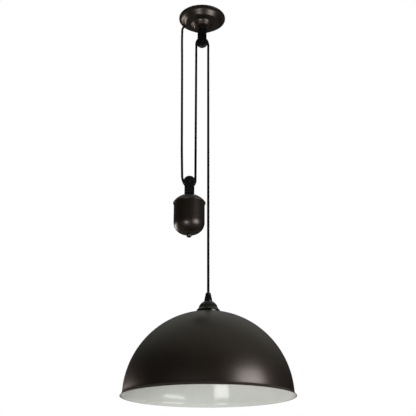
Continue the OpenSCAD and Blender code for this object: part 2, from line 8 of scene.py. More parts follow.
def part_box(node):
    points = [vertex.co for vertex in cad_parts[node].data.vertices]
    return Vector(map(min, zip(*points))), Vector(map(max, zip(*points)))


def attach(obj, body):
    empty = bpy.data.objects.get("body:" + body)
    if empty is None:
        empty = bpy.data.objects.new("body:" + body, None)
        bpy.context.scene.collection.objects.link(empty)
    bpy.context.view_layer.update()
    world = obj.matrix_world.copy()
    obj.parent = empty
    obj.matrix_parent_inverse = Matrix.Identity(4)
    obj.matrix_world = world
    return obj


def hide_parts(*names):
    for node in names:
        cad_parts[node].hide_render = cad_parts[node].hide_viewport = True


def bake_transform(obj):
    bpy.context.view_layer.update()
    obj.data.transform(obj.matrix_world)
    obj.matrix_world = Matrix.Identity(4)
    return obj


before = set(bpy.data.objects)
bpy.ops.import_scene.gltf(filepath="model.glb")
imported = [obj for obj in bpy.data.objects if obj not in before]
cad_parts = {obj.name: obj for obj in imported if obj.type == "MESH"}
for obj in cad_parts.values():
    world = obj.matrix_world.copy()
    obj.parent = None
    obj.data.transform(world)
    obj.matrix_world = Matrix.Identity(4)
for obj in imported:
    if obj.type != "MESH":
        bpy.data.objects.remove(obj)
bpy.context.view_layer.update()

# Sizes are in millimetres, as in the part's source, and the helpers that make a mesh turn them
# into metres. The camera, the floor and the lamps are placed in metres.
MM = 0.001

# -------------------- camera

IMAGE_PX = 416
FOCAL_PX = 757
SENSOR_MM = 36
CAMERA_AT = (0.0162, -1.751, -1.244)
CAMERA_PITCH = 21.35
CAMERA_REACH = (0.05, 60)


def make_camera():
    """The photograph's camera: in front of the lamp, a little under it, and tilted up."""
    data = bpy.data.cameras.new("camera")
    data.sensor_width = SENSOR_MM
    data.lens = FOCAL_PX * SENSOR_MM / IMAGE_PX
    data.clip_start, data.clip_end = CAMERA_REACH
    camera = bpy.data.objects.new("camera", data)
    camera.location = CAMERA_AT
    camera.rotation_euler = (math.radians(90 + CAMERA_PITCH), 0, 0)
    bpy.context.scene.collection.objects.link(camera)
    bpy.context.scene.camera = camera


make_camera()
bpy.context.scene.view_settings.view_transform = "Standard"

# -------------------- places, from the frame


def low(node):
    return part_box(node)[0] / MM


def high(node):
    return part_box(node)[1] / MM


def middle(node):
    return (low(node) + high(node)) / 2


UPPER_AXLE = middle("upper_sheave")
WEIGHT_AXLE = middle("weight_sheave")
WEIGHT_AXIS = (WEIGHT_AXLE.x, 0)
LAMP_AXIS = (middle("screw_shell").x, 0)

# -------------------- materials


class Look:
    """A Principled material, with procedural detail added to it in steps."""

    def __init__(self, name, colour, roughness, metallic=0.0, **sockets):
        self.material = bpy.data.materials.new(name)
        self.material.use_nodes = True
        self.tree = self.material.node_tree
        self.shader = self.tree.nodes["Principled BSDF"]
        self.shader.inputs["Base Color"].default_value = (*colour, 1)
        self.shader.inputs["Roughness"].default_value = roughness
        self.shader.inputs["Metallic"].default_value = metallic
        for socket, value in sockets.items():
            self.shader.inputs[socket.replace("_", " ")].default_value = value
        self.last_bump = None

    def node(self, kind, **settings):
        made = self.tree.nodes.new(kind)
        for name, value in settings.items():
            setattr(made, name, value)
        return made

    def link(self, source, target):
        self.tree.links.new(source, target)

    def value(self, operation, *inputs):
        """The result of a sum; each input is a number or a socket."""
        made = self.node("ShaderNodeMath", operation=operation)
        for socket, given in zip(made.inputs, inputs):
            if isinstance(given, (int, float)):
                socket.default_value = given
            else:
                self.link(given, socket)
        return made.outputs[0]

    def place(self):
        """The point's place on the object, in metres."""
        return self.node("ShaderNodeTexCoord").outputs["Object"]

    def parts(self, vector):
        """The three parts of a vector."""
        made = self.node("ShaderNodeSeparateXYZ")
        self.link(vector, made.inputs[0])
        return made.outputs

    def carried(self, name):
        """The three parts of what the points of a tube carry under that name."""
        return self.parts(self.node("ShaderNodeAttribute", attribute_name=name).outputs["Vector"])

    def noise(self, scale, detail, stretch=(1, 1, 1)):
        """A noise from 0 to 1; scale is in spots a metre."""
        mapping = self.node("ShaderNodeMapping")
        mapping.inputs["Scale"].default_value = stretch
        self.link(self.place(), mapping.inputs["Vector"])
        made = self.node("ShaderNodeTexNoise")
        made.inputs["Scale"].default_value = scale
        made.inputs["Detail"].default_value = detail
        self.link(mapping.outputs[0], made.inputs["Vector"])
        return made.outputs["Fac"]

    def ramp(self, source, stops):
        """Colours by source: stops are (position, colour)."""
        made = self.node("ShaderNodeValToRGB")
        elements = made.color_ramp.elements
        while len(elements) < len(stops):
            elements.new(0.5)
        for element, (position, colour) in zip(elements, stops):
            element.position = position
            element.color = (*colour, 1)
        self.link(source, made.inputs["Fac"])
        return made.outputs["Color"]

    def colour(self, source):
        self.link(source, self.shader.inputs["Base Color"])

    def mottle(self, scale, detail, *stops):
        """Clouds of colour from stop to stop."""
        self.colour(self.ramp(self.noise(scale, detail), stops))

    def roughness(self, source, lowest, highest):
        made = self.node("ShaderNodeMapRange")
        made.inputs["To Min"].default_value = lowest
        made.inputs["To Max"].default_value = highest
        self.link(source, made.inputs["Value"])
        self.link(made.outputs["Result"], self.shader.inputs["Roughness"])

    def bump(self, source, depth_mm, strength):
        """A relief on top of the ones before it."""
        made = self.node("ShaderNodeBump")
        made.inputs["Strength"].default_value = strength
        made.inputs["Distance"].default_value = depth_mm * MM
        self.link(source, made.inputs["Height"])
        if self.last_bump:
            self.link(self.last_bump, made.inputs["Normal"])
        self.last_bump = made.outputs["Normal"]
        self.link(self.last_bump, self.shader.inputs["Normal"])


def bronze_paint():
    """Oil-rubbed bronze: a dark brown satin paint, a little lighter in faint clouds."""
    look = Look("bronze_paint", (0.0072, 0.0052, 0.0037), 0.34, Specular_Tint=(1, 0.87, 0.81, 1))
    look.mottle(26, 4, (0.3, (0.0062, 0.0044, 0.0031)), (0.7, (0.0084, 0.0061, 0.0044)))
    look.roughness(look.noise(140, 3), 0.31, 0.37)
    look.bump(look.noise(500, 2), 0.008, 0.1)
    return look.material


def black_paint():
    """Satin black paint, on the yokes, the axle screws and the nuts."""
    look = Look("black_paint", (0.003, 0.003, 0.003), 0.44, Specular_IOR_Level=0.2)
    look.mottle(120, 3, (0.3, (0.002, 0.002, 0.002)), (0.7, (0.004, 0.0038, 0.0036)))
    look.roughness(look.noise(400, 3), 0.38, 0.5)
    look.bump(look.noise(1500, 2), 0.012, 0.2)
    return look.material


def phenolic():
    """Moulded black phenolic: glossy, with the faint brown mottling of its filler."""
    look = Look("phenolic", (0.004, 0.0035, 0.003), 0.18, Specular_IOR_Level=0.38)
    look.mottle(300, 5, (0.35, (0.003, 0.0027, 0.0025)), (0.75, (0.007, 0.0055, 0.0045)))
    look.roughness(look.noise(220, 3), 0.12, 0.22)
    look.bump(look.noise(700, 2), 0.015, 0.3)
    return look.material


def sheave_nylon():
    """Moulded black nylon: matt, with a fine grain."""
    look = Look("sheave_nylon", (0.008, 0.008, 0.008), 0.45)
    look.mottle(500, 3, (0.3, (0.006, 0.006, 0.006)), (0.7, (0.012, 0.012, 0.0115)))
    look.roughness(look.noise(900, 2), 0.38, 0.5)
    look.bump(look.noise(2500, 2), 0.01, 0.4)
    return look.material


def white_enamel():
    """White enamel, a trace warm and uneven, with a soft gloss."""
    look = Look("white_enamel", (0.7, 0.71, 0.685), 0.1, Specular_IOR_Level=0.3)
    look.mottle(18, 3, (0.3, (0.68, 0.695, 0.667)), (0.7, (0.725, 0.73, 0.705)))
    look.roughness(look.noise(60, 3), 0.07, 0.13)
    look.bump(look.noise(320, 2), 0.03, 0.25)
    return look.material


TURNED = (1, 1, 12)


def metal(name, colour, darker, roughness):
    """Plain metal, as turned: fine scratches round it and slight tarnish."""
    look = Look(name, colour, roughness, metallic=1.0)
    look.mottle(220, 5, (0.25, darker), (0.65, colour))
    look.roughness(look.noise(900, 2, TURNED), roughness - 0.08, roughness + 0.12)
    look.bump(look.noise(1800, 2, TURNED), 0.01, 0.4)
    return look.material


def cast_iron():
    """Bare cast iron, rough from its mould."""
    look = Look("cast_iron", (0.11, 0.108, 0.11), 0.7, metallic=0.6)
    look.mottle(300, 5, (0.3, (0.07, 0.068, 0.07)), (0.7, (0.15, 0.145, 0.14)))
    look.bump(look.noise(900, 4), 0.2, 0.8)
    return look.material


def pale_plastic(name, colour, shaded, roughness):
    """Pale moulded plastic, or porcelain where it is glossier, in faint clouds of a darker shade."""
    look = Look(name, colour, roughness)
    look.mottle(150, 4, (0.3, shaded), (0.7, colour))
    look.roughness(look.noise(500, 2), roughness - 0.05, roughness + 0.07)
    look.bump(look.noise(1500, 2), 0.012, 0.3)
    return look.material


def sheathed_wire(name, colour, second=None):
    """A core's plastic sheath; the earth core has two stripes of a second colour along it."""
    look = Look(name, colour, 0.35)
    darker = tuple(0.75 * c for c in colour)
    base = look.ramp(look.noise(400, 3), [(0.3, darker), (0.7, colour)])
    if second:
        stripe = look.value("GREATER_THAN", look.value("ABSOLUTE", look.carried("turn")[0]), 0.7)
        mix = look.node("ShaderNodeMix", data_type="RGBA")
        look.link(stripe, mix.inputs["Factor"])
        look.link(base, mix.inputs["A"])
        mix.inputs["B"].default_value = (*second, 1)
        base = mix.outputs["Result"]
    look.colour(base)
    look.bump(look.noise(2500, 2), 0.01, 0.4)
    return look.material


BRAID_ENDS = 8
BRAID_PITCH = 2.1
BRAID_YARNS = 4


def braid():
    """Black textile braid: two families of strands round the flex, over and under each other.

    A tube carries where each of its points is: "turn" holds the cosine and sine round it, and
    "along" a distance to add to the point's height, times a sign, to have the distance along the
    flex. So the strands keep their size when a stretch lengthens.
    """
    look = Look("braid", (0.004, 0.004, 0.004), 0.75, Specular_IOR_Level=0.05)
    turn, along, place = look.carried("turn"), look.carried("along"), look.parts(look.place())
    distance = look.value("MULTIPLY_ADD", place[2], along[1], along[0])
    length = look.value("DIVIDE", distance, BRAID_PITCH * MM)
    round_it = look.value("ARCTAN2", turn[1], turn[0])
    strands = look.value("MULTIPLY", round_it, BRAID_ENDS / math.tau)
    first = look.value("ADD", strands, length)
    second = look.value("SUBTRACT", strands, length)
    parity = look.value("ADD", look.value("FLOOR", first), look.value("FLOOR", second))
    over = look.value("GREATER_THAN", look.value("PINGPONG", parity, 1), 0.5)
    lift = look.value("MULTIPLY", over, 0.7)
    ridge_1 = look.value("MULTIPLY", look.value("PINGPONG", first, 0.5), look.value("ADD", lift, 0.3))
    ridge_2 = look.value("MULTIPLY", look.value("PINGPONG", second, 0.5),
                         look.value("SUBTRACT", 1.0, lift))
    weave = look.value("MULTIPLY", look.value("MAXIMUM", ridge_1, ridge_2), 2)
    yarn_1 = look.value("PINGPONG", look.value("MULTIPLY", second, BRAID_YARNS), 0.5)
    yarn_2 = look.value("PINGPONG", look.value("MULTIPLY", first, BRAID_YARNS), 0.5)
    apart = look.value("SUBTRACT", yarn_1, yarn_2)
    yarn = look.value("ADD", look.value("MULTIPLY", over, apart), yarn_2)
    # The colour follows the weave's relief: darker where it is low, at the strands' edges and where a
    # strand passes under. This is painted shade in the hollows of the braid.
    look.colour(look.ramp(weave, [(0.1, (0.0006, 0.0006, 0.0006)), (0.8, (0.0024, 0.0023, 0.0022))]))
    look.bump(weave, 0.3, 0.7)
    look.bump(yarn, 0.06, 0.4)
    look.bump(look.noise(5000, 2), 0.02, 0.3)
    return look.material


STEEL = metal("steel", (0.58, 0.58, 0.6), (0.42, 0.42, 0.44), 0.34)
BRASS = metal("brass", (0.72, 0.5, 0.2), (0.5, 0.32, 0.11), 0.3)
IRON = cast_iron()
BRONZE = bronze_paint()
BLACK = black_paint()
PHENOLIC = phenolic()
NYLON = sheave_nylon()
ENAMEL = white_enamel()
BRAID = braid()
PORCELAIN = pale_plastic("porcelain", (0.8, 0.77, 0.71), (0.74, 0.71, 0.65), 0.18)
WHITE_NYLON = pale_plastic("white_nylon", (0.7, 0.69, 0.64), (0.64, 0.63, 0.58), 0.45)
LIVE = sheathed_wire("wire_live", (0.085, 0.03, 0.012))
NEUTRAL = sheathed_wire("wire_neutral", (0.01, 0.05, 0.26))
EARTH = sheathed_wire("wire_earth", (0.07, 0.24, 0.03), second=(0.62, 0.52, 0.03))

# -------------------- outlines, in millimetres


def arc(centre, radius, start, end, steps):
    """Points round a circle, or an ellipse with two radii, from start to end in degrees."""
    across, up = radius if isinstance(radius, tuple) else (radius, radius)
    turns = [math.radians(start + (end - start) * i / steps) for i in range(steps + 1)]
    return [Vector((centre[0] + across * math.cos(a), centre[1] + up * math.sin(a))) for a in turns]


def circle(radius, count):
    """A closed outline of that many points round the origin."""
    return arc((0, 0), radius, 0, 360 - 360 / count, count - 1)


def straight(*points):
    """Points with straight lines between them."""
    return [Vector(p) for p in points]


def smooth(points, steps):
    """A smooth curve through points, steps between neighbours."""
    p = [Vector(q) for q in points]
    p = [2 * p[0] - p[1], *p, 2 * p[-1] - p[-2]]
    made = []
    for a, b, c, d in zip(p, p[1:], p[2:], p[3:]):
        for t in (i / steps for i in range(steps)):
            made.append(b + (c - a) / 2 * t + (a - 2.5 * b + 2 * c - d / 2) * t * t
                        + (1.5 * b - a / 2 - 1.5 * c + d / 2) * t ** 3)
    return made + [p[-2]]


def rounded(corners, steps=3):
    """A closed outline through corners (across, up, radius), each corner rounded."""
    made = []
    for i, (x, y, radius) in enumerate(corners):
        here = Vector((x, y))
        if not radius:
            made.append(here)
            continue
        back = Vector(corners[i - 1][:2]) - here
        on = Vector(corners[(i + 1) % len(corners)][:2]) - here
        reach = min(radius / math.tan(back.angle(on) / 2), 0.48 * back.length, 0.48 * on.length)
        a, b = here + back.normalized() * reach, here + on.normalized() * reach
        for t in (k / steps for k in range(steps + 1)):
            made.append(a * (1 - t) ** 2 + here * 2 * t * (1 - t) + b * t * t)
    return made


def beside(profile, distance):
    """The profile moved to its left."""
    p = [Vector(q) for q in profile]
    made = []
    for i, here in enumerate(p):
        way = (p[min(i + 1, len(p) - 1)] - p[max(i - 1, 0)]).normalized()
        made.append(here + distance * Vector((-way.y, way.x)))
    return made


def wall(profile, distance):
    """A closed outline between the profile and itself moved to its left."""
    return list(profile) + beside(profile, distance)[::-1]


# -------------------- meshes

UPRIGHT = Matrix.Identity(4)
UPSIDE_DOWN = Matrix.Scale(-1, 4, (0, 0, 1))
TO_FRONT = Matrix.Rotation(math.radians(90), 4, "X")
TO_BACK = Matrix.Rotation(math.radians(-90), 4, "X")

# Where two faces meet at more than this angle, their edge is eased, or shaded as sharp.
EASED_OVER = math.radians(40)
SHARP_OVER = math.radians(38)


def at(x, y, z=0):
    return Matrix.Translation((x, y, z))


def placed(bm, place):
    bm.transform(place)
    return bm


def spun(outline, place=UPRIGHT, segments=128, shape=None):
    """A closed outline [(distance, height)] turned about its axis, then put in its place.

    shape(distance, height, turn) may give another distance, for threads, flutes and knurls.
    """
    bm = bmesh.new()
    rings = []
    for distance, height in outline:
        if distance < 1e-6:
            rings.append([bm.verts.new((0, 0, height))])
            continue
        ring = []
        for k in range(segments):
            turn = math.tau * k / segments
            r = shape(distance, height, turn) if shape else distance
            ring.append(bm.verts.new((r * math.cos(turn), r * math.sin(turn), height)))
        rings.append(ring)
    ends_on_axis = len(rings[0]) == len(rings[-1]) == 1
    for a, b in zip(rings, rings[1:] if ends_on_axis else rings[1:] + rings[:1]):
        if len(a) == len(b) == 1:
            continue
        for k in range(segments):
            n = (k + 1) % segments
            if len(a) == 1:
                bm.faces.new((a[0], b[k], b[n]))
            elif len(b) == 1:
                bm.faces.new((a[k], b[0], a[n]))
            else:
                bm.faces.new((a[k], b[k], b[n], a[n]))
    return placed(bm, place)


def plate(outlines, thickness, place=UPRIGHT):
    """A flat plate of that thickness up from its place; outlines after the first are its holes."""
    bm = bmesh.new()
    edges = []
    for outline in outlines:
        ring = [bm.verts.new((p[0], p[1], 0)) for p in outline]
        edges += [bm.edges.new((a, b)) for a, b in zip(ring, ring[1:] + ring[:1])]
    bmesh.ops.triangle_fill(bm, use_beauty=True, use_dissolve=False, edges=edges)
    bmesh.ops.dissolve_limit(bm, angle_limit=0.01, verts=bm.verts, edges=bm.edges)
    grown = bmesh.ops.extrude_face_region(bm, geom=list(bm.faces), use_keep_orig=True)
    top = [g for g in grown["geom"] if isinstance(g, bmesh.types.BMVert)]
    bmesh.ops.translate(bm, verts=top, vec=(0, 0, thickness))
    return placed(bm, place)


def joined(parts):
    """One bmesh of several."""
    whole = bmesh.new()
    for part in parts:
        mesh = bpy.data.meshes.new("part")
        part.to_mesh(mesh)
        part.free()
        whole.from_mesh(mesh)
        bpy.data.meshes.remove(mesh)
    return whole


def eased(bm, width, steps=2):
    """The bmesh with its edges rounded."""
    bmesh.ops.recalc_face_normals(bm, faces=bm.faces)
    edges = [e for e in bm.edges if e.is_manifold and e.calc_face_angle(0) > EASED_OVER]
    bmesh.ops.bevel(bm, geom=edges, offset=width, segments=steps, profile=0.5, affect="EDGES",
                    clamp_overlap=True)
    return bm


def piece(name, bm, material, body, replaces=()):
    """The finished piece from a bmesh in millimetres: smooth but for its sharp edges, on its body.

    A piece given no body is left attached to none.
    """
    bm.transform(Matrix.Scale(MM, 4))
    bmesh.ops.recalc_face_normals(bm, faces=bm.faces)
    for face in bm.faces:
        face.smooth = True
    for edge in bm.edges:
        edge.smooth = not edge.is_manifold or edge.calc_face_angle(0) < SHARP_OVER
    mesh = bpy.data.meshes.new(name)
    bm.to_mesh(mesh)
    bm.free()
    mesh.materials.append(material)
    made = bpy.data.objects.new(name, mesh)
    bpy.context.scene.collection.objects.link(made)
    weigh = made.modifiers.new("flat_faces_stay_flat", "WEIGHTED_NORMAL")
    weigh.keep_sharp = True
    if body:
        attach(made, body)
    if replaces:
        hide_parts(*replaces)
    return made


def dress(node, material, bevel_mm=0.0):
    """A CAD node that shows as it is, with its material and its edges a little eased."""
    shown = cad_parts[node]
    shown.data.materials.clear()
    shown.data.materials.append(material)
    weld = shown.modifiers.new("weld", "WELD")
    weld.merge_threshold = 1e-6
    if bevel_mm:
        bevel = shown.modifiers.new("eased_edges", "BEVEL")
        bevel.width = bevel_mm * MM
        bevel.segments = 2
        bevel.limit_method = "ANGLE"
        bevel.angle_limit = EASED_OVER


def thread(pitch, depth):
    """A shape for spun(): a rounded thread cut into the outside."""
    def cut(distance, height, turn):
        phase = (height / pitch - turn / math.tau) % 1
        return distance - depth * (0.5 + 0.5 * math.cos(math.tau * phase))
    return cut


def milling(grooves, half_depth, over_r, lowest=-math.inf, highest=math.inf):
    """A shape for spun(): upright grooves for fingers, where it is wider than over_r."""
    def cut(distance, height, turn):
        grooved = distance > over_r and lowest < height < highest
        return distance - (half_depth + half_depth * math.cos(grooves * turn)) * grooved
    return cut


def steps_between(start, end, step):
    count = max(1, round(abs(end - start) / step))
    return [start + (end - start) * i / count for i in range(count + 1)]


# -------------------- ceiling set

ROSE_R = high("rose").x
ROSE_WALL = 1
ROSE_FLANK = [(59, -3.4), (56.6, -4.1), (54.4, -5.5), (52, -8.2), (49.1, -12), (46.6, -15.1)]
ROSE_PAN = [(41.6, -17.93), (38, -18.2), (34, -18.4), (31.4, -18.35), (29.6, -18.5), (28, -19.4),
            (26.6, -21), (25.2, -22.8), (24.2, -23.9)]
BOSS_Z = low("rose").z
STUD_R = 5
STUD_PITCH = 1.5
STUD_THREAD = 0.7
THREAD_STEP = 0.25
STUD_NUT_FLATS = 17
STUD_NUT_HEIGHTS = (7, 6)
STRAP_TOP = -10
STRAP_FOOT = -12
NUT_LOW = low("rose_nut").z
NUT_R = 11.2
NUT_WAIST_R = 10.4


def rose_profile():
    """The rose's outside, from its edge at the ceiling inwards and down to the boss."""
    edge = straight((ROSE_R, 0), (ROSE_R, -1.4))
    bead = arc((ROSE_R - 1.2, -2.2), 1.2, -5, -90, 8)
    shoulder = arc((41.5, -12), 5.9, -38, -84, 10)
    boss = arc((15.6, BOSS_Z + 8.6), 8.6, -20, -90, 16)
    return [*edge, *bead, *smooth(ROSE_FLANK, 6), *shoulder, *smooth(ROSE_PAN, 6), *boss,
            Vector((STUD_R + 0.3, BOSS_Z))]


def make_rose():
    """The spun cover, over the bracket and the wiring."""
    piece("rose_cover", spun(wall(rose_profile(), -ROSE_WALL), segments=192), BRONZE, "ceiling_set",
          ["rose"])


def make_rose_nut():
    """The round nut that holds the rose up, milled round its edge for fingers."""
    bore_r = STUD_R + 0.2
    outline = rounded([
        (bore_r, NUT_LOW, 0.3), (NUT_R - 0.2, NUT_LOW, 0.7), (NUT_R, NUT_LOW + 3.4, 0.4),
        (NUT_WAIST_R, NUT_LOW + 4.0, 0.4), (NUT_WAIST_R, NUT_LOW + 6.0, 0.4),
        (NUT_R, NUT_LOW + 6.6, 0.4), (NUT_R, BOSS_Z, 0.6), (bore_r, BOSS_Z, 0.3)])
    bm = spun(outline, segments=288, shape=milling(72, 0.18, NUT_R - 0.3))
    piece("rose_collar_nut", bm, BLACK, "ceiling_set", ["rose_nut"])


def make_stud():
    """The hanging stud, threaded all along."""
    bottom, top = low("hanging_stud").z, high("hanging_stud").z
    side = [Vector((STUD_R, z)) for z in steps_between(bottom + 0.6, top - 0.6, THREAD_STEP)]
    outline = [*straight((0, bottom), (STUD_R - 0.6, bottom)), *side,
               *straight((STUD_R - 0.6, top), (0, top))]
    bm = spun(outline, segments=48, shape=thread(STUD_PITCH, STUD_THREAD))
    piece("threaded_stud", bm, STEEL, "ceiling_set", ["hanging_stud"])


def hex_nut(across_flats, height, bore_r, place):
    """A nut whose corners are turned down, as on a real one."""
    half = across_flats / 2
    corner = half / math.cos(math.radians(30))
    nut = plate([circle(corner, 6), circle(bore_r, 36)], height)
    upright = [e for e in nut.edges if abs(e.verts[0].co.z - e.verts[1].co.z) > 1]
    bmesh.ops.subdivide_edges(nut, edges=upright, cuts=4)
    for v in nut.verts:
        from_middle = v.co.xy.length
        drop = max(0.0, from_middle - half) / (corner - half) * 0.1 * height
        if from_middle > bore_r + 0.5:
            v.co.z = min(max(v.co.z, drop), height - drop)
    return placed(nut, place)


def make_stud_nuts():
    """The two nuts on the stud, on top of the bracket's strap and under it."""
    upper, lower = STUD_NUT_HEIGHTS
    nuts = [hex_nut(STUD_NUT_FLATS, upper, STUD_R, at(0, 0, STRAP_TOP)),
            hex_nut(STUD_NUT_FLATS, lower, STUD_R, at(0, 0, STRAP_FOOT - lower))]
    piece("stud_hex_nuts", joined([eased(n, 0.25) for n in nuts]), STEEL, "ceiling_set",
          ["stud_nuts"])


make_rose()
make_rose_nut()
make_stud()
make_stud_nuts()
dress("ceiling_bracket", STEEL, 0.3)
dress("terminal_block", WHITE_NYLON, 0.35)
dress("terminal_screws", BRASS, 0.12)
dress("earth_screw", BRASS, 0.2)
dress("flex_gland", PHENOLIC, 0.35)

# -------------------- sheaves and yokes

YOKE_W = high("upper_yoke").x - low("upper_yoke").x
YOKE_REACH = NUT_LOW - UPPER_AXLE.z
YOKE_BASE = 8
YOKE_ARM = 3
YOKE_HALF = high("upper_yoke").y
ROD_R = 4
AXLE_R = 2.5
HEAD_R = 4.6
HEAD_H = 2.6
HEAD_ROUND = 1.8
SLOT_HALF = 0.55
SLOT_DEPTH = 1
SHEAVE_R = high("upper_sheave").x - UPPER_AXLE.x
PITCH_R = 14
FLEX_R = high("flex_upper_bend").y


def yoke(hole_r):
    """A yoke with its axle along Y at the origin and its flat end up at YOKE_REACH."""
    half, shoulder = YOKE_W / 2, YOKE_REACH - YOKE_BASE
    arm = [*arc((0, 0), half, 180, 360, 24), *straight((half, shoulder), (-half, shoulder))]
    arms = [plate([arm, circle(AXLE_R, 24)], YOKE_ARM, at(0, y) @ TO_FRONT)
            for y in (YOKE_HALF, YOKE_ARM - YOKE_HALF)]
    block = straight((-half, -YOKE_HALF), (half, -YOKE_HALF), (half, YOKE_HALF), (-half, YOKE_HALF))
    base = plate([block, circle(hole_r, 24)], YOKE_BASE, at(0, 0, shoulder))
    return joined([eased(part, 0.5, 3) for part in [*arms, base]])


def axle():
    """An axle screw: a slotted round head in front, its plain end in the nut behind."""
    back, top = -high("upper_axle").y, YOKE_HALF + HEAD_H
    shank = rounded([(0, back, 0), (AXLE_R, back, 0.3), (AXLE_R, YOKE_HALF, 0), (0, YOKE_HALF, 0)])
    head = spun([*straight((0, YOKE_HALF), (HEAD_R, YOKE_HALF)),
                 *arc((HEAD_R - HEAD_ROUND, top - HEAD_ROUND), HEAD_ROUND, 0, 75, 8),
                 Vector((0, top + 0.1))], segments=96)
    for v in head.verts:
        if abs(v.co.y) < SLOT_HALF and v.co.z > top - SLOT_DEPTH:
            v.co.z = top - SLOT_DEPTH
    return joined([spun(shank, TO_FRONT, 48), placed(head, TO_FRONT)])


def axle_nut():
    """A domed nut behind the yoke."""
    flats, height, dome_h = 8, 3, 2.2
    dome_r = flats / 2 - 0.2
    nut = hex_nut(flats, height, AXLE_R, at(0, 0, YOKE_HALF))
    dome = spun([*straight((AXLE_R, YOKE_HALF + 1), (dome_r, YOKE_HALF + 1)),
                 *arc((0, YOKE_HALF + height), (dome_r, dome_h), 0, 90, 12)], segments=64)
    return joined([placed(eased(nut, 0.2), TO_BACK), placed(dome, TO_BACK)])


def sheave():
    """A grooved wheel with a hub, cheeks a little sunk inside its rim and eased edges."""
    hub_half, hub_r = 5.5, 5.9
    cheek, groove_r = FLEX_R + 1.8, FLEX_R + 0.3
    side = rounded([(AXLE_R + 0.06, hub_half, 0.2), (hub_r, hub_half, 0.4),
                    (hub_r + 0.5, cheek - 0.6, 0.3), (SHEAVE_R - 3.4, cheek - 0.6, 0.3),
                    (SHEAVE_R - 2.9, cheek, 0.3), (SHEAVE_R - 0.5, cheek, 0.4),
                    (SHEAVE_R, cheek - 0.6, 0.2)])
    front = [*side[1:], Vector((SHEAVE_R, groove_r + 0.55))]
    back = [Vector((p.x, -p.y)) for p in front][::-1]
    return spun([*front, *arc((PITCH_R, 0), groove_r, 68, 292, 20), *back], TO_FRONT)


def make_axle_group(which, axle_at, hole_r, body, way_up=UPRIGHT):
    """A yoke with its axle screw, its nut and its sheave."""
    pieces = [("yoke", "arms", placed(yoke(hole_r), way_up), BLACK, body, "black_paint"),
              ("axle", "screw", axle(), BLACK, body, "black_paint"),
              ("axle_nut", "dome", axle_nut(), BLACK, body, "black_paint"),
              ("sheave", "wheel", sheave(), NYLON, f"{which}_sheave", "sheave_nylon")]
    for node, form, bm, material, rides_on, slot in pieces:
        piece(f"{which}_{node}_{form}", placed(bm, Matrix.Translation(axle_at)), material, rides_on,
              [f"{which}_{node}"])


make_axle_group("upper", UPPER_AXLE, STUD_R, "ceiling_set")
make_axle_group("weight", WEIGHT_AXLE, ROD_R, "counterweight", UPSIDE_DOWN)

# -------------------- flex

# How far each upright run stands from the axle of its sheave.
LAMP_STAND = LAMP_AXIS[0]
MIDDLE_STAND = 15.5
INNER_STAND = -WEIGHT_AXIS[0] - MIDDLE_STAND
OUTER_STAND = 18.8
HUG = math.radians(60)
LAP_STEPS = 24
FLARE_STEPS = 12
TAIL_R = FLEX_R - 0.02
TUBE_SIDES = 28
RING_STEP = 4
OUTLET_TURN = math.radians(21)
FLANK_TOP = Vector((55.1, -4.5))
FLANK_FOOT = Vector((46.1, -15.7))
GLAND_OUT = 3
OUTLET_BEND_R = 16
FIXED_RUN_ROUTE = [(-55.2, 19.6, -60), (-54.2, 16.6, -120), (-53.3, 13, -190), (-52.6, 9.9, -254),
                   (-51.8, 6.6, -325), (-51, 3.4, -395), (-50, 1.1, -440)]
TAIL_ROUTE = [(33, -5), (37.4, -5), (41.4, -5.2), (44.8, -5.7)]


def flare(stand, side, up, centre):
    """The gentle bend from a sheave to the upright run at its stand-off.

    up is 1 for a flex that goes up from the sheave and -1 for one that goes down.
    """
    radius = (stand - PITCH_R * math.sin(HUG)) / (1 - math.sin(HUG))
    made = []
    for i in range(FLARE_STEPS + 1):
        a = HUG + (math.pi / 2 - HUG) * i / FLARE_STEPS
        across = PITCH_R * math.sin(HUG) + radius * (math.sin(a) - math.sin(HUG))
        down = PITCH_R * math.cos(HUG) - radius * (math.cos(HUG) - math.cos(a))
        made.append(Vector((side * across, 0, -up * down)) + centre)
    return made


def lapped(centre, up):
    """The arc of flex that lies on a sheave, from left to right; up is 1 over it and -1 under."""
    turns = [-HUG + 2 * HUG * i / LAP_STEPS for i in range(LAP_STEPS + 1)]
    return [centre + PITCH_R * Vector((math.sin(a), 0, up * math.cos(a))) for a in turns]


def in_outlet_plane(distance, height):
    """A point in the upright plane through the rose's axis and the flex's outlet."""
    return Vector((-distance * math.cos(OUTLET_TURN), distance * math.sin(OUTLET_TURN), height))


def outlet():
    """The bend from the rose's flank down to the fixed run, and the points behind the flank."""
    normal = Vector((FLANK_TOP.y - FLANK_FOOT.y, FLANK_FOOT.x - FLANK_TOP.x)).normalized()
    mid = (FLANK_TOP + FLANK_FOOT) / 2
    end = mid + GLAND_OUT * normal
    pitch = math.acos(normal.x)
    bend = []
    for i in range(FLARE_STEPS + 1):
        a = pitch + (math.pi / 2 - pitch) * i / FLARE_STEPS
        turned = Vector((math.sin(a) - math.sin(pitch), math.cos(a) - math.cos(pitch)))
        bend.append(in_outlet_plane(*(end + OUTLET_BEND_R * turned)))
    inside = [in_outlet_plane(*(mid - back * normal)) for back in (3.9, 2, 0)]
    return bend, inside


def evenly(points, step):
    """The same line with points every step or less."""
    made = [points[0]]
    for a, b in zip(points, points[1:]):
        count = max(1, math.ceil((b - a).length / step))
        made += [a.lerp(b, (i + 1) / count) for i in range(count)]
    return made


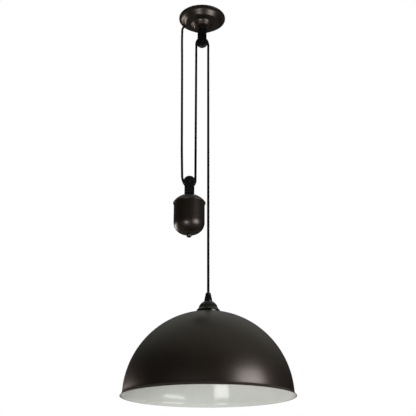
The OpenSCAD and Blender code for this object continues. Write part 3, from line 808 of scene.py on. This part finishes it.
def tube(points, radius, start_way=None, end_way=None, sides=TUBE_SIDES, begun=0.0, rises=False):
    """A closed tube along points, and how far along the flex it ends, if it began at begun.

    Each point of it carries its place round and along, as braid() reads it.
    """
    bm = bmesh.new()
    turn_of = bm.verts.layers.float_vector.new("turn")
    along_of = bm.verts.layers.float_vector.new("along")
    ways = [(points[min(i + 1, len(points) - 1)] - points[max(i - 1, 0)]).normalized()
            for i in range(len(points))]
    ways[0] = (start_way or ways[0]).normalized()
    ways[-1] = (end_way or ways[-1]).normalized()
    sign = 1 if rises else -1
    run, rings, u = begun, [], Vector((0, 1, 0))
    for i, (p, way) in enumerate(zip(points, ways)):
        run += (p - points[i - 1]).length if i else 0
        u = (u - way * u.dot(way)).normalized()
        v = way.cross(u)
        ring = []
        for k in range(sides):
            a = math.tau * k / sides
            vert = bm.verts.new(p + radius * (math.cos(a) * u + math.sin(a) * v))
            vert[turn_of] = (math.cos(a), math.sin(a), 0)
            vert[along_of] = ((run - sign * vert.co.z) * MM, sign, 0)
            ring.append(vert)
        rings.append(ring)
    for a, b in zip(rings, rings[1:]):
        for k in range(sides):
            n = (k + 1) % sides
            bm.faces.new((a[k], a[n], b[n], b[k]))
    bm.faces.new(rings[0][::-1])
    bm.faces.new(rings[-1])
    return bm, run


def make_flex():
    """The flex from the rose to the lamp, in the stretches that move apart from each other."""
    bend, inside = outlet()
    grip_top = Vector((LAMP_STAND, 0, high("cord_grip").z))
    tail_foot = Vector((LAMP_STAND, 0, low("lamp_flex_tail").z))
    rising = Vector((math.cos(HUG), 0, math.sin(HUG)))
    falling = Vector((math.cos(HUG), 0, -math.sin(HUG)))
    down = Vector((0, 0, -1))
    lower = flare(OUTER_STAND, -1, 1, WEIGHT_AXLE)[::-1]
    fixed = smooth([bend[-1], *FIXED_RUN_ROUTE, lower[0]], 12)
    fixed_run = evenly([*bend[:-1], *fixed, *lower[1:]], RING_STEP)
    middle_run = evenly([*flare(INNER_STAND, 1, 1, WEIGHT_AXLE),
                         *flare(MIDDLE_STAND, -1, -1, UPPER_AXLE)[::-1]], RING_STEP)
    lamp_run = evenly([*flare(LAMP_STAND, 1, -1, UPPER_AXLE), grip_top], RING_STEP)
    tail = [in_outlet_plane(*p) for p in smooth(TAIL_ROUTE, 4)] + inside + [bend[0]]

    bm, begun = tube(tail, TAIL_R)
    piece("flex_end_in_rose", bm, BRAID, "ceiling_set", ["rose_flex_tail"])
    # Each stretch's name, points, ways in and out, whether it rises, its body, and for a run, which
    # hangs between the ceiling and that body, the heights where its lengthening starts and ends.
    stretches = [
        ("fixed_run", fixed_run, None, falling, False, "counterweight", (-30, -465)),
        ("weight_bend", lapped(WEIGHT_AXLE, -1), falling, rising, False, "counterweight", None),
        ("middle_run", middle_run, rising, rising, True, "counterweight", (-85, -485)),
        ("upper_bend", lapped(UPPER_AXLE, 1), rising, falling, False, "ceiling_set", None),
        ("lamp_run", lamp_run, falling, down, False, "lamp", (-90, -770)),
    ]
    for name, points, start_way, end_way, rises, body, heights in stretches:
        bm, begun = tube(points, FLEX_R, start_way, end_way, begun=begun, rises=rises)
        made = piece(f"braided_{name}", bm, BRAID, None if heights else body,
                     [f"flex_{name}"])
        if heights:
            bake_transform(made)
    bm, _ = tube(evenly([grip_top, tail_foot], RING_STEP), TAIL_R, begun=begun)
    piece("flex_end_in_grip", bm, BRAID, "lamp", ["lamp_flex_tail"])


make_flex()

# -------------------- wires

CORES = {"live": LIVE, "neutral": NEUTRAL, "earth": EARTH}
WIRE_R = 0.9
WIRE_SIDES = 16
CORE_R = 1.25

# Where each core leaves the flex's end, in degrees round it, and its way from there.
ROSE_WIRES = [
    ("live", 30, [(-25, 14.2, -4.4), (-17, 15.2, -5.4), (-7, 15.8, -6), (7, 15, -6.6),
                  (13.4, 11, -6.6), (17.9, 8, -6.4)]),
    ("neutral", 150, [(-25, 11, -3.8), (-16, 11.4, -3.8), (-6, 12.4, -3.8), (4, 12, -4),
                      (12, 4.6, -5.6), (17.9, 0, -6.4)]),
    ("earth", -90, [(-25, 12, -7.2), (-17, 12, -8.6), (-12.5, 12.4, -8.9), (-9.3, 12.6, -8.9)]),
]


def wire(core, place, route, start_way, end_way, body):
    """One core of the flex, in the rose or in the holder."""
    bm, _ = tube(smooth(route, 8), WIRE_R, start_way, end_way, sides=WIRE_SIDES)
    piece(f"{core}_core_in_{place}", bm, CORES[core], body, [f"{place}_wire_{core}"])


def make_rose_wires():
    """The three cores, from the flex's end to the terminal block and the earth screw."""
    tail_end = in_outlet_plane(*TAIL_ROUTE[0])
    across = Vector((math.sin(OUTLET_TURN), math.cos(OUTLET_TURN), 0))
    inward = Vector((math.cos(OUTLET_TURN), -math.sin(OUTLET_TURN), 0))
    for core, turn, route in ROSE_WIRES:
        a = math.radians(turn)
        start = tail_end + CORE_R * (math.cos(a) * across + Vector((0, 0, math.sin(a))))
        wire(core, "rose", [start, *route], inward, Vector((1, 0, 0)), "ceiling_set")


CAP_TOP = high("holder_cap").z
RIM_LOW = low("shade").z
LIP_DROP = 0.5
DOME_Z = RIM_LOW + LIP_DROP
DOME_R = 195
DOME_TOP = DOME_Z + DOME_R


def make_holder_wires():
    """The two cores, from the flex's end to the terminals on either side."""
    route = [(1.2, CAP_TOP - 8), (1.3, CAP_TOP - 11), (1.5, DOME_TOP + 11), (2.2, DOME_TOP + 7),
             (4.5, DOME_TOP + 5.7)]
    for core, side in (("live", 1), ("neutral", -1)):
        wire(core, "holder", [(LAMP_AXIS[0] + side * x, 0, z) for x, z in route],
             Vector((0, 0, -1)), Vector((side, 0, 0)), "lamp")


make_rose_wires()
make_holder_wires()

# -------------------- counterweight

WEIGHT_PLACE = at(*WEIGHT_AXIS)
WEIGHT_R = (high("weight_shell").x - low("weight_shell").x) / 2
SHELL_WALL = 1
SHELL_TOP = high("weight_shell").z
SHELL_FOOT = low("weight_shell").z
BOWL_DEPTH = 32
BOWL_FULLNESS = 0.92
BOWL_STEPS = 60
BOWL_TURN = 83
LID_WALL = 1.2
LID_SPHERE_R = 49
LID_FLAT_R = 9.4
LID_SEAT = high("weight_lid").z
LID_CENTRE = LID_SEAT - math.sqrt(LID_SPHERE_R ** 2 - LID_FLAT_R ** 2)
LID_EDGE_R = WEIGHT_R + 0.3
LID_BORE_R = ROD_R + 0.2
BEAD_R = 1.8
BEAD_Z = LID_CENTRE + math.sqrt(LID_SPHERE_R ** 2 - LID_EDGE_R ** 2) - 3.4
CAP_NUT_R = 7.2
CAP_NUT_DEPTH = 6.4


def make_weight_lid():
    """The lid: a shallow spun dome whose edge is rolled into a bead over the shell."""
    start = math.degrees(math.acos(LID_FLAT_R / LID_SPHERE_R))
    end = math.degrees(math.acos(LID_EDGE_R / LID_SPHERE_R))
    dome = arc((0, LID_CENTRE), LID_SPHERE_R, start, end + 1.4, 40)
    bead = arc((LID_EDGE_R + 0.1, BEAD_Z), BEAD_R, 62, -90, 20)
    hollow = dome[-1].lerp(bead[0], 0.5) + Vector((-0.16, -0.1))
    neck = smooth([dome[-1], hollow, bead[0]], 4)[1:-1]
    over_shell = straight((WEIGHT_R + 0.05, BEAD_Z - BEAD_R), (WEIGHT_R + 0.05, SHELL_TOP))
    inside = arc((0, LID_CENTRE), LID_SPHERE_R - LID_WALL, end + 2.2, start, 30)
    outline = [Vector((LID_BORE_R, LID_SEAT)), *dome, *neck, *bead, *over_shell, *inside,
               Vector((LID_BORE_R, LID_SEAT - LID_WALL))]
    piece("counterweight_lid", spun(outline, WEIGHT_PLACE, 192), BRONZE, "counterweight",
          ["weight_lid"])


def make_weight_shell():
    """The shell: a straight side that turns into a rounded bottom."""
    bowl = SHELL_FOOT + BOWL_DEPTH
    profile = [Vector((WEIGHT_R, z)) for z in steps_between(SHELL_TOP, bowl, 6)]
    for i in range(1, BOWL_STEPS + 1):
        a = math.radians(BOWL_TURN * i / BOWL_STEPS)
        profile.append(Vector((WEIGHT_R * math.cos(a) ** BOWL_FULLNESS,
                               bowl - BOWL_DEPTH * math.sin(a) ** BOWL_FULLNESS)))
    profile += straight((ROD_R + 0.8, SHELL_FOOT), (ROD_R + 0.1, SHELL_FOOT))
    piece("counterweight_shell", spun(wall(profile, -SHELL_WALL), WEIGHT_PLACE, 192), BRONZE,
          "counterweight", ["weight_shell"])


def make_weight_cap_nut():
    """The cap nut under the shell, a little dome with a flat seat."""
    r, z = CAP_NUT_R, SHELL_FOOT
    outline = [*straight((0, z - 2.6), (ROD_R, z - 2.6), (ROD_R, z + 0.1), (r - 0.4, z - 0.32),
                         (r, z - 0.6), (r, z - 1.2)),
               *arc((0, z - 1.4), (r - 0.1, CAP_NUT_DEPTH), -2, -90, 20)]
    piece("counterweight_cap_nut", spun(outline, WEIGHT_PLACE, 96), BRONZE, "counterweight",
          ["weight_cap_nut"])


make_weight_lid()
make_weight_shell()
make_weight_cap_nut()
dress("weight_ballast", IRON)
dress("weight_rod", STEEL)
dress("weight_rod_nut", STEEL, 0.2)

# -------------------- lamp

LAMP_PLACE = at(*LAMP_AXIS)
RIM_R = (high("shade").x - low("shade").x) / 2
RIM_FOOT = RIM_LOW + 0.15
HEM_STEPS = 6
LIP_RISE = 7.5
SHADE_HOLE_R = 20
SHADE_WALL = 0.6
ENAMEL_T = 0.12
DOME_START = math.degrees(math.asin(LIP_RISE / DOME_R)) + 0.8
DOME_END = math.degrees(math.acos(SHADE_HOLE_R / DOME_R))
DOME_STEPS = 110
SHADE_SIDES = 256
SKIRT_R = 19.4
SKIRT_WALL = 2.6
SKIRT_TOP = high("holder_skirt").z
SKIRT_FOOT = low("holder_skirt").z
SKIRT_PITCH = 2.6
SKIRT_THREAD = 0.7
RING_R = 27
CAP_SIDE = [(12.3, 24.7), (15.3, 22.6), (18.1, 19.9), (20.1, 17.3), (21.3, 14.9), (22.2, 12.5),
            (23.1, 10.1), (24.5, 7.9), (26.4, 5.9), (27.8, 4.2), (28.4, 2.4)]
CAP_BRIM_R = 28.4
GRIP_BASE_R = 10.2
GRIP_TOP_R = 6.3
GRIP_TOP = high("cord_grip").z
GRIP_FOOT = CAP_TOP - 5.9
COLLET_R = 4.5
FLUTES = 10
FLUTE_DEPTH = 0.8
FLUTE_START = 0.02
FLUTE_END = 0.93
FLUTE_FADE = 9
SOCKET_R = 13.3
SOCKET_WALL = 0.5
SOCKET_PITCH = 25.4 / 7
SOCKET_THREAD = 1.0
COARSE_STEP = 0.4


def dome_height(distance):
    """The height of the shade's outside, that far from its axis."""
    return DOME_Z + math.sqrt(DOME_R ** 2 - distance ** 2)


def shade_outside():
    """The shade's outside, from the edge of its rim over the flare and the dome to the hole."""
    edge = arc((RIM_R - 0.4, RIM_FOOT + 0.4), 0.4, -90, 45, 6)
    lip = smooth([edge[-1], (RIM_R - 1.7, DOME_Z + 2.1), (RIM_R - 3.3, DOME_Z + 4),
                  (RIM_R - 4.85, DOME_Z + 6.2)], 5)
    return edge + lip[1:] + arc((0, DOME_Z), DOME_R, DOME_START, DOME_END, DOME_STEPS)


def shade_inside():
    """The shade's inside, from under its hemmed rim to the hole."""
    hem = arc((RIM_R - 1.2, RIM_FOOT + 0.5), 0.5, -90, -165, HEM_STEPS)
    lip = smooth([hem[-1], (RIM_R - 2.9, DOME_Z + 1.7), (RIM_R - 4.1, DOME_Z + 3.5),
                  (RIM_R - 5.5, DOME_Z + 6.2)], 5)
    return hem + lip[1:] + arc((0, DOME_Z), DOME_R - SHADE_WALL, DOME_START, DOME_END, DOME_STEPS)


def make_shade():
    """The spun steel shade, painted outside and round its hem, and its skin of white enamel."""
    inside = shade_inside()
    piece("shade_outside", spun([*shade_outside(), *inside[::-1]], LAMP_PLACE, SHADE_SIDES), BRONZE,
          "lamp", ["shade"])
    skin = beside(inside, 0.01)[HEM_STEPS - 1:]
    piece("shade_enamel", spun(wall(skin, ENAMEL_T), LAMP_PLACE, SHADE_SIDES), ENAMEL, "lamp")


def make_cap():
    """The phenolic cap: a glossy bell over the holder, with a brim that stands on the shade."""
    side = smooth([(GRIP_BASE_R + 0.5, CAP_TOP), *[(r, DOME_TOP + up) for r, up in CAP_SIDE],
                   (CAP_BRIM_R, DOME_TOP - 1.2)], 5)
    under = [Vector((r, dome_height(r) + 0.05))
             for r in (CAP_BRIM_R, 27.4, 25.4, 23.4, 21.4, SKIRT_R + 0.05)]
    inside = straight((SKIRT_R + 0.05, SKIRT_TOP + 0.05), (17, SKIRT_TOP + 0.05), (17, CAP_TOP - 9),
                      (13, CAP_TOP - 4.5), (GRIP_BASE_R - 3.4, CAP_TOP - 4.5),
                      (GRIP_BASE_R - 3.4, CAP_TOP))
    piece("lampholder_cap", spun([*side, *under, *inside], LAMP_PLACE, 160), PHENOLIC, "lamp",
          ["holder_cap"])


def make_grip():
    """The cord grip: a fluted cone that screws into the cap and closes on the flex."""
    neck_r, bore_r = GRIP_BASE_R - 3.5, FLEX_R + 0.1
    base, shoulder = CAP_TOP + 1.4, GRIP_TOP - 1.8
    cone = [Vector((GRIP_BASE_R + (GRIP_TOP_R - GRIP_BASE_R) * t, base + t * (shoulder - base)))
            for t in (i / 24 for i in range(25))]
    outline = [*straight((neck_r, GRIP_FOOT), (neck_r, CAP_TOP), (GRIP_BASE_R - 0.2, CAP_TOP),
                         (GRIP_BASE_R, CAP_TOP + 0.3)),
               *cone, *arc((GRIP_TOP_R - 1.6, shoulder), (1.6, 1.8), 12, 88, 6),
               *straight((bore_r, GRIP_TOP), (bore_r, GRIP_TOP - 6), (COLLET_R, GRIP_TOP - 6.5),
                         (COLLET_R, GRIP_FOOT))]

    def fluted(distance, height, turn):
        up = (height - base) / (GRIP_TOP - base)
        if distance < GRIP_TOP_R - 0.4 or not FLUTE_START < up < FLUTE_END:
            return distance
        fade = min(1.0, (up - FLUTE_START) * FLUTE_FADE, (FLUTE_END - up) * FLUTE_FADE)
        return distance - FLUTE_DEPTH * fade * (0.5 + 0.5 * math.cos(FLUTES * turn)) ** 2

    piece("cord_grip_cone", spun(outline, LAMP_PLACE, 240, fluted), PHENOLIC, "lamp",
          ["cord_grip"])


def make_skirt():
    """The holder's skirt, threaded outside for the shade ring."""
    inner, collar = SKIRT_R - SKIRT_WALL, SKIRT_FOOT + 7
    heights = steps_between(SKIRT_TOP - 0.4, collar + 2, COARSE_STEP)
    foot = rounded([(SKIRT_R - 0.9, collar, 0.4), (SKIRT_R - 0.9, SKIRT_FOOT, 1.2),
                    (inner, SKIRT_FOOT, 0.5), (inner, collar, 0)], 4)
    outline = [*straight((inner, SKIRT_TOP), (SKIRT_R - 0.4, SKIRT_TOP)),
               *[Vector((SKIRT_R - 0.02, z)) for z in heights], *foot]
    cut = thread(SKIRT_PITCH, SKIRT_THREAD)

    def threaded(distance, height, turn):
        return distance if distance < SKIRT_R - 0.1 else cut(distance, height, turn)

    piece("lampholder_skirt", spun(outline, LAMP_PLACE, 128, threaded), PHENOLIC, "lamp",
          ["holder_skirt"])


def make_shade_ring():
    """The ring that clamps the shade up against the cap, milled round its edge for fingers."""
    bore_r = SKIRT_R + 0.02
    top, foot = dome_height(RING_R) - SHADE_WALL - 0.25, dome_height(RING_R) - 8
    outline = rounded([(bore_r, top, 0.3), (RING_R - 0.4, top, 0.5), (RING_R, top - 1, 0.3),
                       (RING_R, foot + 1, 0.6), (RING_R - 1, foot, 0.5), (bore_r, foot, 0.6)], 4)
    bm = spun(outline, LAMP_PLACE, 288, milling(36, 0.35, RING_R - 0.8, foot + 0.6, top - 0.9))
    piece("shade_clamp_ring", bm, PHENOLIC, "lamp", ["shade_ring"])


def make_screw_shell():
    """The brass screw shell with the round thread of the lamp socket."""
    heights = steps_between(low("screw_shell").z, high("screw_shell").z, COARSE_STEP)
    inside = [Vector((SOCKET_R - 0.02, z)) for z in heights]
    outside = [Vector((SOCKET_R + SOCKET_WALL - 0.02, z)) for z in heights[::-1]]
    bm = spun([*inside, *outside], LAMP_PLACE, 96, thread(SOCKET_PITCH, SOCKET_THREAD))
    piece("screw_shell_thread", bm, BRASS, "lamp", ["screw_shell"])


make_shade()
make_cap()
make_grip()
make_skirt()
make_shade_ring()
make_screw_shell()
dress("holder_insert", PORCELAIN, 0.4)
dress("centre_contact", BRASS, 0.1)
dress("holder_terminals", BRASS, 0.2)
dress("grip_collet", WHITE_NYLON, 0.2)

# -------------------- light and stage


def lamp_at(name, place, target, width, height, power, colour=(1, 1, 1)):
    """A softbox: a rectangular lamp that faces its target."""
    data = bpy.data.lights.new(name, "AREA")
    data.shape = "RECTANGLE"
    data.size, data.size_y = width, height
    data.energy = power
    data.color = colour
    box = bpy.data.objects.new(name, data)
    box.location = place
    way = Vector(target) - Vector(place)
    box.rotation_euler = way.to_track_quat("-Z", "Y").to_euler()
    bpy.context.scene.collection.objects.link(box)


def mixed(tree, share, first, second):
    """A shader that shows that share of the second and the rest of the first."""
    mix = tree.nodes.new("ShaderNodeMixShader")
    tree.links.new(share, mix.inputs["Fac"])
    tree.links.new(first.outputs[0], mix.inputs[1])
    tree.links.new(second.outputs[0], mix.inputs[2])
    return mix


WHITE = (1, 1, 1, 1)
ROOM_TINT = (0.97, 1, 0.91, 1)
ROOM_DIM = 0.022
ROOM_PALE = 0.46
PALER_WAY = (0.08, 0.22, 0.97)
PALER_FROM = 0.4


def make_world():
    """White to the camera. Other rays see a dim studio with a paler ceiling."""
    world = bpy.data.worlds.new("studio")
    bpy.context.scene.world = world
    world.use_nodes = True
    tree = world.node_tree
    seen = tree.nodes["Background"]
    seen.inputs["Color"].default_value = WHITE
    seen.inputs["Strength"].default_value = 1
    room = tree.nodes.new("ShaderNodeBackground")
    room.inputs["Color"].default_value = ROOM_TINT
    place = tree.nodes.new("ShaderNodeTexCoord")
    paler = tree.nodes.new("ShaderNodeVectorMath")
    paler.operation = "DOT_PRODUCT"
    paler.inputs[1].default_value = PALER_WAY
    tree.links.new(place.outputs["Generated"], paler.inputs[0])
    overhead = tree.nodes.new("ShaderNodeMapRange")
    overhead.interpolation_type = "SMOOTHSTEP"
    overhead.inputs["From Min"].default_value = PALER_FROM
    overhead.inputs["From Max"].default_value = 1
    overhead.inputs["To Min"].default_value = ROOM_DIM
    overhead.inputs["To Max"].default_value = ROOM_PALE
    tree.links.new(paler.outputs["Value"], overhead.inputs["Value"])
    tree.links.new(overhead.outputs[0], room.inputs["Strength"])
    rays = tree.nodes.new("ShaderNodeLightPath")
    mix = mixed(tree, rays.outputs["Is Camera Ray"], room, seen)
    tree.links.new(mix.outputs[0], tree.nodes["World Output"].inputs["Surface"])


FLOOR_Z = -2.1
FLOOR_R = 9


def make_floor():
    """A pale floor well under the lamp, round and wide, that fades into the white behind it."""
    bm = bmesh.new()
    bmesh.ops.create_circle(bm, cap_ends=True, radius=FLOOR_R, segments=96)
    bmesh.ops.translate(bm, verts=bm.verts, vec=(0, 0, FLOOR_Z))
    mesh = bpy.data.meshes.new("floor")
    bm.to_mesh(mesh)
    bm.free()
    look = Look("floor", (0.82, 0.82, 0.81), 0.8, Emission_Color=WHITE, Emission_Strength=0.08)

    def glow(colour, strength):
        made = look.node("ShaderNodeEmission")
        made.inputs["Color"].default_value = colour
        made.inputs["Strength"].default_value = strength
        return made

    rays = look.node("ShaderNodeLightPath").outputs
    seen = mixed(look.tree, look.value("MULTIPLY", rays["Is Camera Ray"], 0.85), look.shader,
                 glow(WHITE, 1))
    surface = mixed(look.tree, look.value("MULTIPLY", rays["Is Glossy Ray"], 0.75), seen,
                    glow((1, 1, 0.9, 1), 0.05))
    look.link(surface.outputs[0], look.tree.nodes["Material Output"].inputs["Surface"])
    mesh.materials.append(look.material)
    floor = bpy.data.objects.new("floor", mesh)
    bpy.context.scene.collection.objects.link(floor)


make_world()
make_floor()
lamp_at("softbox_right", (1.014, -0.751, -0.82), (0, 0, -0.78), width=0.74, height=0.7, power=16.5)
lamp_at("softbox_front", (-0.54, -1.5, -1.43), (0, 0.1, -0.95), width=0.62, height=0.56, power=13.5)
lamp_at("window_left", (-4.6, 3.85, -1.0), (0, 0, -0.7), width=4.2, height=1.3, power=150,
        colour=(1, 0.87, 0.8))
